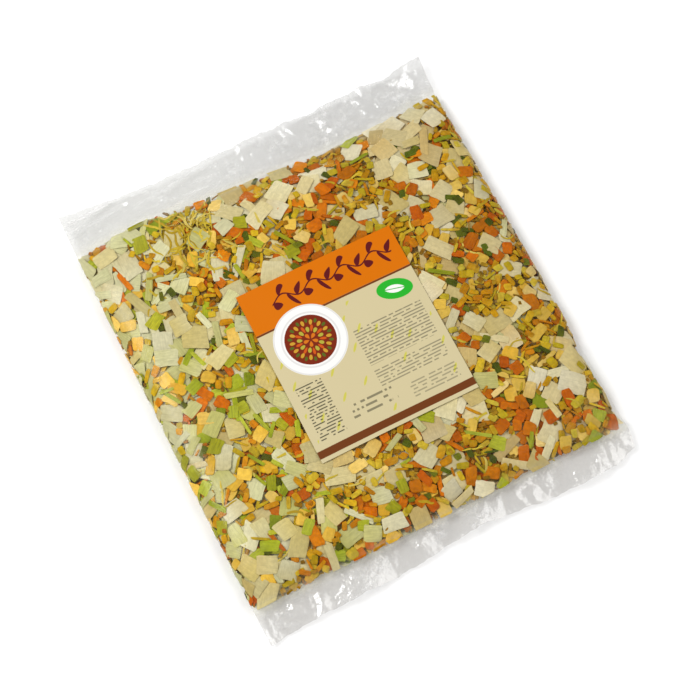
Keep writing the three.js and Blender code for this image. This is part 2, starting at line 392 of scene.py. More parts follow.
class Finish:
    """A material that is being put together."""

    def __init__(self, name):
        self.material = bpy.data.materials.new(name)
        self.material.use_nodes = True
        self.tree = self.material.node_tree
        self.tree.nodes.clear()
        self.output = self.node("OutputMaterial")

    def node(self, kind, **settings):
        made = self.tree.nodes.new("ShaderNode" + kind)
        for key, value in settings.items():
            setattr(made, key, value)
        return made

    def fill(self, port, value):
        """Gives an input a number, a colour, or what it is linked to."""
        if isinstance(value, Field):
            self.tree.links.new(value.socket, port)
        elif isinstance(value, bpy.types.NodeSocket):
            self.tree.links.new(value, port)
        elif isinstance(value, (tuple, list, np.ndarray)):
            alpha = [1.0] if port.type == "RGBA" else []
            port.default_value = [float(v) for v in value] + alpha
        else:
            port.default_value = value

    def set(self, node, **values):
        """Fills inputs, named with _ for a space."""
        for key, value in values.items():
            self.fill(node.inputs[key.replace("_", " ")], value)
        return node

    def parts(self, kind, value, names):
        """The parts of a vector or a colour, as fields."""
        node = self.node("Separate" + kind)
        self.fill(node.inputs[0], value)
        return [Field(self.tree, node.outputs[name]) for name in names]

    def uv(self):
        return self.parts("XYZ", self.node("UVMap", uv_map="UVMap").outputs["UV"], ("X", "Y"))

    def place(self):
        """Where the point is in the object's own frame, in metres."""
        return self.node("TexCoord").outputs["Object"]

    def tint(self):
        """The mesh's own colour."""
        return self.node("Attribute", attribute_name="tint").outputs["Color"]

    def vector(self, x, y, z=0.0):
        return self.set(self.node("CombineXYZ"), X=x, Y=y, Z=z).outputs[0]

    def noise(self, vector, scale, detail=3.0, roughness=0.5):
        node = self.node("TexNoise")
        self.set(node, Vector=vector, Scale=scale, Detail=detail, Roughness=roughness)
        return Field(self.tree, node.outputs["Fac"])

    def blend(self, first, second, amount, kind="MIX"):
        """Two colours mixed: linked sockets, or linear colours."""
        node = self.node("Mix", data_type="RGBA", blend_type=kind)
        for port, value in ((0, amount), (6, first), (7, second)):
            self.fill(node.inputs[port], value)
        return node.outputs[2]

    def bump(self, height, distance, strength=1.0):
        """A normal, for a relief whose depth is given in millimetres."""
        node = self.set(self.node("Bump"), Height=height, Distance=distance * MM, Strength=strength)
        return node.outputs["Normal"]

    def overlay(self, under, over, amount):
        """Two shaders mixed."""
        node = self.set(self.node("MixShader"), Fac=amount)
        for port, shader in ((1, under), (2, over)):
            self.tree.links.new(shader.outputs[0], node.inputs[port])
        return node

    def finish(self, shader):
        self.tree.links.new(shader.outputs[0], self.output.inputs["Surface"])
        return self.material

    def principled(self, colour, roughness, specular=0.5, **values):
        shader = self.set(self.node("BsdfPrincipled"), Base_Color=colour, Roughness=roughness, **values)
        return self.finish(self.set(shader, Specular_IOR_Level=specular))


FIBRES = (0.12, 1.7)  # the streaks' scale along a flake and across it, per mm
BLOTCHES = 0.45  # the blotches' scale, per mm
FLAKE_SPECULAR = 0.07

# The core's tints are darkened: painted shade of the flakes deeper in.
SHADED_CORE_TINTS = linear(122, 92, 26), linear(184, 148, 66)


def flake_finish(name, fibre, mottle, roughness, relief):
    """Dried vegetable: the flake's own tint, darkened along its fibres and in blotches.

    fibre and mottle say how strong the streaks and the blotches are, and relief how deep, in mm."""
    made = Finish(name)
    along, across = made.uv()
    streaks = made.noise(made.vector(along * FIBRES[0], across * FIBRES[1]), 1.0, 4.0, 0.6)
    blotches = made.noise(made.vector(along, across), BLOTCHES, 3.0, 0.6)
    shade = (streaks.ramp(0.3, 0.7).rest() * fibre + blotches.ramp(0.35, 0.7).rest() * mottle).rest()
    grey = made.set(made.node("CombineColor"), Red=shade, Green=shade, Blue=shade)
    colour = made.blend(made.tint(), grey.outputs[0], 1.0, "MULTIPLY")
    normal = made.bump(streaks * fibre + blotches * mottle, relief)
    return made.principled(colour, roughness, FLAKE_SPECULAR, Normal=normal)


def core_finish():
    """The mass of flakes deeper in, seen only through gaps, darkened with painted shade."""
    made = Finish("deep_flakes_painted_shade")
    place = made.place()
    patches = made.noise(place, 260.0, 3.0, 0.6).ramp(0.35, 0.65)
    normal = made.bump(made.noise(place, 420.0), 0.6)
    return made.principled(made.blend(*SHADED_CORE_TINTS, patches), 0.7, Normal=normal)


# What the film lets through, as linear colours: where it lies on flakes, at the near flap, at the far
# one, and at the far one's calm left half.
FILLED_TONE = (0.97, 0.97, 0.965)
NEAR_TONE = (0.906, 0.9, 0.89)
FAR_TONE = (0.888, 0.886, 0.88)
CALM_TONE = (0.916, 0.915, 0.906)

# The colours of its haze, and how strong each haze is at most.
# The side's veil is a painted sheen, tinted yellowish, that whitens the bag's left side.
SIDE_SHEEN_VEIL = (0.86, 0.87, 0.66)
FLAP_VEIL = (0.93, 0.93, 0.92)
# The veil along the filling's ends is painted light, lifting the shade beside the filling.
PAINTED_LIGHT_VEIL = (0.92, 0.9, 0.78)
SIDE_SHEEN_HAZE = (0.025, 0.001)  # in patches, and everywhere
FLAP_HAZE = (0.3, 0.06, 0.02)  # in flecks of the patches, in the patches, and everywhere
PAINTED_LIGHT_HAZE = (0.2, 0.06)  # in patches, and everywhere
# Whitish streaks on the far flap's calm half: a painted reflection of its wrinkles.
REFLECTION_STREAKS = 0.32
SHEEN_SIDE = (-50.0, -104.0)  # x where the side's haze starts, and where it is full
REFLECTION_STREAK_SCALE = (14.0, 190.0)  # along x and across it, per metre
REFLECTION_STREAK_LEAN = 0.17

FILM_RELIEF = 0.4  # mm
FILM_ROUGHNESS = 0.16
GLOSS_AT_SLANT = 0.42
SLANT_POWER = 3.5
STRAIGHT_ON = 0.008  # gloss where the film is seen straight on: where it is filled, and how much more
STRAIGHT_ON_NEAR = 0.08  # at the near flap
STRAIGHT_ON_FAR = 0.035  # and at the far one


def film_finish():
    """Clear film. Nearly all light passes, and more is reflected at a slant. The empty flaps are greyer
    and glossier than the filled part, where flakes lie against the film, and the far flap is darker and
    less glossy than the near one. Whitish streaks, a painted reflection of wrinkles, run along the far
    flap's calm left half; the left side has a faint whitish veil, a painted sheen; and a whitish veil of
    painted light lifts the shade along both of the filling's ends. The mesh's tint says where the flaps,
    the calm half and the painted light are."""
    made = Finish("clear_film")
    place = made.place()
    flap, calm, painted_light = made.parts("Color", made.tint(), ("Red", "Green", "Blue"))
    x, y = made.parts("XYZ", place, ("X", "Y"))
    far = y.ramp(0.0, 0.01)

    crinkle = made.noise(place, 170.0, 4.0, 0.65)
    fine = made.noise(place, 620.0, 2.0, 0.5)
    folds = abs(made.noise(place, 150.0, 2.0, 0.55) - 0.5) * flap * calm.rest()
    height = crinkle * (flap * 0.6 + 1) + fine * (flap * 0.3 + 0.25) + folds * 4.0
    normal = made.bump(height, FILM_RELIEF, 0.5)

    tone = made.blend(FILLED_TONE, made.blend(NEAR_TONE, FAR_TONE, far), flap)
    clear = made.set(made.node("BsdfTransparent"), Color=made.blend(tone, CALM_TONE, calm))

    veil = made.blend(made.blend(SIDE_SHEEN_VEIL, FLAP_VEIL, flap), PAINTED_LIGHT_VEIL, painted_light)
    haze = made.set(made.node("BsdfDiffuse"), Color=veil, Normal=normal)
    patches = made.noise(place, 60.0, 3.0, 0.6).ramp(0.38, 0.72)
    flecks = made.noise(place, 330.0, 3.0, 0.65).ramp(0.44, 0.66)
    # painted sheen at the left side
    at_side_sheen = x.ramp(*(edge * MM for edge in SHEEN_SIDE)) * (patches * SIDE_SHEEN_HAZE[0] + SIDE_SHEEN_HAZE[1])
    at_flap = patches * flecks * FLAP_HAZE[0] + patches * FLAP_HAZE[1] + FLAP_HAZE[2]
    at_flap = flap * (calm.rest() * 0.6 + 0.4) * at_flap
    # painted light along the filling's ends, lifting the shade there
    at_painted_light = painted_light * (patches * PAINTED_LIGHT_HAZE[0] + PAINTED_LIGHT_HAZE[1])
    # painted reflection: whitish streaks along the calm half
    stretched = made.vector(x * REFLECTION_STREAK_SCALE[0], (y - x * REFLECTION_STREAK_LEAN) * REFLECTION_STREAK_SCALE[1])
    streaks = made.noise(stretched, 1.0, 3.0, 0.5).ramp(0.48, 0.74) * calm * flap * REFLECTION_STREAKS
    hazy = made.overlay(clear, haze, at_side_sheen.most(at_flap).most(at_painted_light).most(streaks))

    gloss = made.set(made.node("BsdfGlossy"), Color=(1, 1, 1), Roughness=FILM_ROUGHNESS, Normal=normal)
    facing = Field(made.tree, made.set(made.node("LayerWeight"), Blend=0.5).outputs["Facing"])
    straight_on = flap * (far * (STRAIGHT_ON_FAR - STRAIGHT_ON_NEAR) + STRAIGHT_ON_NEAR) + STRAIGHT_ON
    return made.finish(made.overlay(hazy, gloss, facing**SLANT_POWER * GLOSS_AT_SLANT + straight_on))


# ---------- the label's print ----------

ORANGE = linear(208, 109, 0)
WINE = linear(92, 22, 26)
CREAM = linear(203, 190, 149)
BROWN = linear(108, 56, 22)
LEAF_GREEN = linear(40, 172, 44)
OLIVE_STROKE = linear(196, 190, 52)
INK = linear(96, 92, 76)
DARK_INK = linear(52, 52, 40)
WHITE = linear(238, 237, 234)
PALE_GREY = linear(202, 200, 198)
RED_BROWN = linear(118, 38, 16)

PAPER_SPECULAR = 0.08
PAPER_RELIEF = 0.03  # mm, as are all the measures of the print
EDGE = 0.12  # how soft its edges are
BLEED = 1.0  # how far what runs to the label's edge is drawn past it
BAND_LOW = LABEL_LENGTH - 25
STRIP = (2.2, 6.4)  # y of the brown strip

VINE_FROM, VINE_TO = 15.0, LABEL_WIDTH - 5
VINE_Y = BAND_LOW + 13.5
VINE_WAVE = 2.2
LEAF_PITCH = 9.0
LEAF_AWAY = 3.4  # of a leaf's middle from the stem
LEAF_TURN = 52.0
LEAF_HALF = (3.5, 1.5)

STROKE_TURN = 52.0
STROKE_CELL = (14.0, 9.0)
STROKE_HALF = (2.8, 0.7)
STROKE_FIELD = (3, 8.5, LABEL_WIDTH - 3, BAND_LOW - 4)

# Rows of bars: left, low, right and high edge, pitch, ink, strength, and the share that is left blank.
ROWS = [
    (47, 36, LABEL_WIDTH - 5, 58, 1.75, INK, 0.7, 0.2),
    (47, 23, LABEL_WIDTH - 5, 33, 1.75, INK, 0.65, 0.25),
    (60, 10, LABEL_WIDTH - 5, 19, 1.9, INK, 0.55, 0.3),
    (5, 10, 20, 43, 1.7, DARK_INK, 0.85, 0.28),
    (26, 12, 52, 22, 3.2, DARK_INK, 0.65, 0.45),
]
BAR_STEP = 1.3

BADGE_AT = (LABEL_WIDTH - 14, BAND_LOW - 9)
BADGE_TURN = -14.0
BADGE_HALF = (10.0, 5.8)

DISC_X, DISC_Y, DISC_RADIUS = 25.0, BAND_LOW - 14.5, 20.0
# The disc's grey rings: how far inside its edge, and half width.
DISC_RINGS = [(4.6, 0.5), (0.5, 0.35)]
DISC_MIDDLE = 6.0  # how far inside the disc's edge its red-brown middle starts
# The rosette: count of petals, radius of their ring, half length, half width, shift in steps, and ink.
PETALS = [
    (5, 2.4, 1.6, 0.85, 0.0, linear(206, 112, 24)),
    (9, 5.9, 1.5, 0.95, 0.5, linear(172, 164, 58)),
    (9, 6.6, 1.9, 0.7, 0.0, linear(198, 84, 22)),
    (14, 9.9, 1.5, 0.9, 0.0, linear(196, 148, 46)),
    (14, 11.0, 1.3, 0.8, 0.5, linear(84, 98, 32)),
]


def stamp(distance):
    """1 where a signed distance says inside, and 0 outside."""
    return distance.ramp(EDGE, -EDGE)


def box_shape(x, y, left, low, right, high):
    across = abs(x - (left + right) / 2) - (right - left) / 2
    along = abs(y - (low + high) / 2) - (high - low) / 2
    return across.most(along)


def oval_shape(x, y, middle_x, middle_y, radius_x, radius_y):
    """Roughly the distance outside an oval."""
    dx = (x - middle_x) / radius_x
    dy = (y - middle_y) / radius_y
    return ((dx * dx + dy * dy) ** 0.5 - 1) * min(radius_x, radius_y)


def turned(x, y, degrees):
    c, s = math.cos(math.radians(degrees)), math.sin(math.radians(degrees))
    return x * c + y * s, y * c - x * s


class Print:
    """The label's print as it is built up, ink over ink."""

    def __init__(self, made):
        self.made = made
        self.x, self.y = made.uv()  # from the label's near left corner
        self.colour = CREAM

    def paint(self, ink, shape):
        self.colour = self.made.blend(self.colour, ink, shape)

    def across(self, low, high, ink):
        """A stripe from one side of the label to the other."""
        self.paint(ink, stamp(box_shape(self.x, self.y, -BLEED, low, LABEL_WIDTH + BLEED, high)))

    def random_of(self, a, b):
        """A random number for each whole pair."""
        node = self.made.node("TexWhiteNoise", noise_dimensions="2D")
        return Field(self.made.tree, self.made.set(node, Vector=self.made.vector(a, b)).outputs["Value"])

    def rows(self, left, low, right, high, pitch, ink, strength, blank):
        """Rows of bars, broken into lengths by chance."""
        row = (self.y / pitch).whole()
        in_row = stamp(abs((self.y / pitch).fraction() - 0.5) * pitch - pitch * 0.2)
        bars = self.random_of((self.x / BAR_STEP + row * 7.3).whole(), row).ramp(blank, blank + 0.02)
        area = stamp(box_shape(self.x, self.y, left, low, right, high))
        self.paint(ink, in_row * bars * area * strength)

    def vine(self):
        """A wavy stem with a leaf on each side in turn."""

        def on_vine(x):
            return x.ramp(VINE_FROM, VINE_FROM + 1) * x.ramp(VINE_TO, VINE_TO - 1)

        x, y = self.x, self.y
        stem_y = (x * (math.pi / LEAF_PITCH)).sine() * VINE_WAVE + VINE_Y
        self.paint(WINE, stamp(abs(y - stem_y) - 0.45) * on_vine(x))
        for side, shift in ((1, 0.0), (-1, 0.5)):
            cell = ((x / LEAF_PITCH + shift).fraction() - 0.5) * LEAF_PITCH
            lean_x, lean_y = turned(cell, y - stem_y - side * LEAF_AWAY, LEAF_TURN * side)
            blade = oval_shape(lean_x, lean_y + lean_x * lean_x * 0.05 * side, 0, 0, *LEAF_HALF)
            # By the middle of its cell, a leaf is drawn whole or not at all.
            self.paint(WINE, stamp(blade) * on_vine(x - cell))

    def strokes(self):
        """Short strokes scattered on the cream field."""
        x, y = turned(self.x, self.y, STROKE_TURN)
        wide, high = STROKE_CELL
        chance = self.random_of((x / wide).whole(), (y / high).whole())
        inside_x = (x / wide).fraction() * wide - 4 - chance * 6
        inside_y = (y / high).fraction() * high - high / 2
        stroke = stamp(oval_shape(inside_x, inside_y, 0, 0, *STROKE_HALF)) * chance.ramp(0.4, 0.42)
        self.paint(OLIVE_STROKE, stroke * stamp(box_shape(self.x, self.y, *STROKE_FIELD)) * 0.8)

    def badge(self):
        """A plain green oval with a pale leaf in it."""
        x, y = turned(self.x - BADGE_AT[0], self.y - BADGE_AT[1], BADGE_TURN)
        self.paint(LEAF_GREEN, stamp(oval_shape(x, y, 0, 0, *BADGE_HALF)))
        upper, lower = (oval_shape(x, y, 0, side * 2.3, 6.4, 4.6) for side in (1, -1))
        self.paint(WHITE, stamp(upper.most(lower)) * stamp(abs(y) - 0.25).rest())

    def medallion(self):
        """A white disc with grey rings, and a rosette of petals on its red-brown middle."""
        away = oval_shape(self.x, self.y, DISC_X, DISC_Y, DISC_RADIUS, DISC_RADIUS)
        self.paint(WHITE, stamp(away))
        for inward, half_wide in DISC_RINGS:
            self.paint(PALE_GREY, stamp(abs(away + inward) - half_wide) * 0.6)
        self.paint(RED_BROWN, stamp(away + DISC_MIDDLE))
        angle = (self.y - DISC_Y).math("ARCTAN2", self.x - DISC_X)
        from_middle = away + DISC_RADIUS
        for count, ring, half_long, half_wide, shift, ink in PETALS:
            step = 2 * math.pi / count
            across = ((angle * (1 / step) + shift).fraction() - 0.5) * (step * ring)
            self.paint(ink, stamp(oval_shape(across, from_middle - ring, 0, 0, half_wide, half_long)))


def label_finish():
    """A generic print: a band with a leafy vine, a round medallion with a rosette, and rows of bars."""
    made = Finish("printed_paper")
    drawn = Print(made)
    drawn.across(BAND_LOW, LABEL_LENGTH + BLEED, ORANGE)
    drawn.vine()
    drawn.across(BAND_LOW - 1.1, BAND_LOW, BROWN)
    drawn.across(*STRIP, BROWN)
    drawn.strokes()
    for row in ROWS:
        drawn.rows(*row)
    drawn.badge()
    drawn.medallion()
    paper = made.noise(made.vector(drawn.x, drawn.y), 3.0, 3.0, 0.6)
    return made.principled(drawn.colour, 0.5, PAPER_SPECULAR, Normal=made.bump(paper, PAPER_RELIEF))


# ---------- the vegetables ----------

# What a flake's colour is multiplied by at the bag's left side, where the cuts are greener; the lift in
# brightness there is painted light from the left.
PALE_LEFT = (1.0, 1.03, 0.95)
VIVID_LEFT = (1.14, 1.05, 0.62)
LIME_LEFT = (1.1, 1.12, 0.9)
LEFT_FROM, LEFT_TO = -50, 95  # how far left that starts, and where it is full

# Each cut: how often it is drawn, its length, width and thickness, how crooked its outline is, how much of
# each side its corners are cut by, how often it is a narrow strip, how far it curls, whether it is one of
# the small cuts, how its colours change to the left, and those colours, on the screen.
CUT_KEYS = ("share", "long", "wide", "thick", "crooked", "cut", "slim", "curl", "small", "left", "tints")
CUT_ROWS = {
    "onion_squares": (
        0.13, (10, 18), (9, 14.5), (0.5, 0.9), 0.28, 0.06, 0.15, 0.8, False, PALE_LEFT,
        [
            (222, 211, 168), (220, 202, 148), (214, 192, 122), (230, 220, 186), (206, 178, 114),
            (222, 205, 152),
        ],
    ),
    "leek_squares": (
        0.055, (9.5, 16), (7.5, 12.5), (0.4, 0.8), 0.22, 0.07, 0.3, 1.0, False, PALE_LEFT,
        [(220, 214, 166), (210, 202, 140), (228, 220, 178), (204, 196, 118)],
    ),
    "parsnip_pieces": (
        0.105, (7, 12.5), (5.5, 9), (0.8, 1.4), 0.3, 0.13, 0.15, 0.5, False, VIVID_LEFT,
        [(236, 200, 100), (228, 186, 72), (222, 172, 50), (238, 208, 132), (216, 180, 78)],
    ),
    "carrot_pieces": (
        0.15, (6, 12.5), (4.5, 8.5), (0.9, 1.6), 0.3, 0.14, 0.2, 0.5, False, VIVID_LEFT,
        [(218, 118, 4), (204, 100, 2), (194, 89, 4), (224, 136, 13), (190, 95, 4), (200, 114, 6)],
    ),
    "green_leek": (
        0.045, (7, 14), (5, 9.5), (0.4, 0.8), 0.3, 0.1, 0.3, 0.9, False, LIME_LEFT,
        [(178, 184, 40), (182, 174, 36), (192, 196, 66), (144, 154, 28), (184, 188, 52), (162, 158, 30)],
    ),
    "dark_leaves": (
        0.02, (4, 8), (2.5, 5.5), (0.3, 0.6), 0.35, 0.1, 0.2, 0.9, False, VIVID_LEFT,
        [(92, 104, 18), (116, 120, 24), (82, 88, 16)],
    ),
    "golden_bits": (
        0.26, (4, 9.5), (2.6, 5.5), (0.6, 1.2), 0.35, 0.16, 0.2, 0.3, True, VIVID_LEFT,
        [(208, 154, 14), (200, 140, 10), (220, 182, 36), (190, 166, 26), (212, 188, 60), (204, 126, 8)],
    ),
    "brown_bits": (
        0.065, (2, 5), (1.5, 3.2), (0.5, 1.1), 0.35, 0.16, 0.2, 0.3, True, VIVID_LEFT,
        [(172, 128, 22), (156, 112, 18), (186, 144, 28), (130, 98, 18), (176, 104, 14)],
    ),
}
CUTS = {name: dict(zip(CUT_KEYS, row)) for name, row in CUT_ROWS.items()}
SQUARES = ("onion_squares", "leek_squares")
SHADES = (0.83, 1.09)  # the darkest and the lightest that a flake's colour is made
SLIM = (1.25, 0.42)  # how much longer and narrower a strip is
WANDER = 0.02  # how far an outline's points wander, as a part of its width
CURLING = 0.5  # how strongly flakes curl, in mm at a cut's curl of 1
SHOWN_CELLS = 3  # cells that a flake has to show in, to be made

SHRED = dict(
    long=(7, 15), wide=(0.8, 1.6), broad=1.2, thick=(0.4, 0.7), steps=8, kink=0.22, curve=0.12,
    tints=[(216, 190, 60), (204, 174, 44), (222, 198, 92), (194, 160, 34)],
)
SHREDS_ANYWHERE = 0.015
SHREDS_IN_CLUMP = 0.75
CLUMP = {"x": -50.0, "y": 86.0, "width": 12.0, "length": 18.0}

# Where squares and carrots gather, or stay away: strength, x, y and radius of each place.
GATHERED = {
    "squares": [
        (1.2, 92, 95, 26), (0.9, -92, 45, 32), (0.7, -80, -95, 28), (0.6, 82, -42, 22),
        (-0.8, -5, -98, 30), (-0.9, -30, 62, 26), (-0.8, 75, 15, 24), (-0.8, -65, -65, 20),
        (-1.8, -50, 84, 17),
    ],
    "carrots": [
        (1.1, 3, 60, 24), (0.9, -5, -95, 24), (1.1, -66, -58, 15), (0.8, 62, -76, 15),
        (-1.0, 78, -20, 28), (-0.8, 92, 95, 26), (-1.0, -92, 40, 35),
    ],
}
# How often a cut is drawn at the bag's right side, and how much that changes to its left, by the power.
LEANS = {
    "onion_squares": (0.84, 0.3, 1), "leek_squares": (0.25, 2.2, 1), "green_leek": (0.06, 3.3, 2),
    "carrot_pieces": (1.15, -0.2, 1),
}
PATCHINESS = 0.45  # how much each cut keeps to its own patches
FINENESS = 0.5  # how much the small cuts keep to theirs
# Random fields: how many waves, the shortest and the longest.
PATCH_WAVES = (14, 22, 60)
FINENESS_WAVES = (14, 25, 60)
START_WAVES = (12, 5, 14)

HEAP_DEPTH = 3.4  # how deep the loose flakes lie, under the film
HEAP_PART = 0.45  # and at most this part of the bag's thickness
START_UNEVEN = 0.25
TOP_PROUD = 0.4  # how far the flakes push the film out, past the solid's surface
UNDER_LABEL = -0.4
UNDERSIDE = -0.15
RIM_DEPTH = 2.2  # how far the flakes stay short of the film at the right side, near its near end
RIM_WIDTH = 8.0
RIM_FROM = (42.0, 62.0)
RIM_WAVE = (0.35, 6.1)  # how much that varies, and its wavelength for each radian
PRESS = 0.35  # how gradually the film presses the flakes flat
OVERFULL = (0.3, 0.45)  # how far other cuts, and squares, may stand out before the film presses them in
SHRED_OVERFULL = 0.5
PLUG_OVERFULL = 0.5
TILT = 0.24  # steepest slope of a flake
BEARING = 0.93  # how much of what is under a flake ends up below it
CURL_MIDDLE = 0.33  # how far a curled flake's middle goes down, as a part of its curl
DIAGONAL = 1.45  # how far a flake may reach from its middle, against its longest side
LEAST_CELLS = 6  # the fewest that a flake covers

MOST_FLAKES = 14000
PATIENCE = 60  # how many flakes in a row find no room before the heap counts as full
TRIES = 5
ROOM_REACH = 4  # cells each way in which room is looked for
GAP_STRIDE = 3
# Pieces dropped into the gaps that are left: the cuts, how many rounds, and how deep a gap is.
PLUGS = [
    (("carrot_pieces", "golden_bits", "green_leek", "parsnip_pieces"), 5, 1.6),
    (("brown_bits", "golden_bits"), 4, 1.4),
]


def leftward(x):
    """0 on the bag's right, rising to 1 at its left side."""
    return float(smoothstep(-x, LEFT_FROM, LEFT_TO))


def gathered(kind, x, y):
    return sum(
        strength * math.exp(-((x - at_x) ** 2 + (y - at_y) ** 2) / radius**2)
        for strength, at_x, at_y, radius in GATHERED[kind]
    )


def on_label(outer, inner):
    """1 on the label, falling to 0 round it, over the grid: how far off its edge each of them is."""
    return (
        smoothstep(np.abs(GRID_X - LABEL_X), LABEL_WIDTH / 2 + outer, LABEL_WIDTH / 2 + inner)
        * smoothstep(np.abs(GRID_Y - LABEL_Y), LABEL_LENGTH / 2 + outer, LABEL_LENGTH / 2 + inner)
        * GRID_TOP
    )


def heap_limits(rng):
    """How far out the flakes may reach, and where they start, over the grid."""
    below = 1 - smoothstep(-np.abs(GRID_U), -BOTTOM_U, -EDGE_U)
    limit = mix(np.full(GRID_X.shape, TOP_PROUD), UNDERSIDE, np.broadcast_to(below, GRID_X.shape))
    limit = mix(limit, UNDER_LABEL, on_label(3, 0))
    rim = np.exp(-(((GRID_U - EDGE_U) / RIM_WIDTH) ** 2)) * smoothstep(-GRID_Y, *RIM_FROM)
    limit = limit - RIM_DEPTH * rim * (1 + RIM_WAVE[0] * np.sin(GRID_Y / RIM_WAVE[1]))
    top_z, low_z = (film_base(np.full((1, 1), u), GRID_Y)[..., 2] for u in (0.0, HALF_LOOP))
    deep = np.minimum(HEAP_DEPTH, HEAP_PART * (top_z - low_z))
    uneven = START_UNEVEN * hills(rng, *START_WAVES)(GRID_U, GRID_Y)
    return limit, uneven - np.broadcast_to(deep, GRID_X.shape)


def is_within(points, p, q):
    """Which places (p, q) lie inside an outline that turns anticlockwise."""
    within = np.ones(p.shape, bool)
    for (ax, ay), (bx, by) in zip(points, np.roll(points, -1, 0)):
        within &= (bx - ax) * (q - ay) - (by - ay) * (p - ax) > 0
    return within


def resting_slope(du, dy, under):
    """The slope of the plane that fits the heights under a flake, no steeper than a flake may tilt."""
    suu, suy, syy = (du * du).sum() + 1, (du * dy).sum(), (dy * dy).sum() + 1
    sug, syg = (du * under).sum(), (dy * under).sum()
    det = suu * syy - suy * suy
    slope_u, slope_y = (sug * syy - syg * suy) / det, (syg * suu - sug * suy) / det
    steep = math.hypot(slope_u, slope_y)
    ease = min(1.0, TILT / steep) if steep > 0 else 1.0
    return slope_u * ease, slope_y * ease


def bent(curl, along):
    """How far a curled flake stands off its plane; along is 1 at its ends."""
    return curl * (along**2 - CURL_MIDDLE)


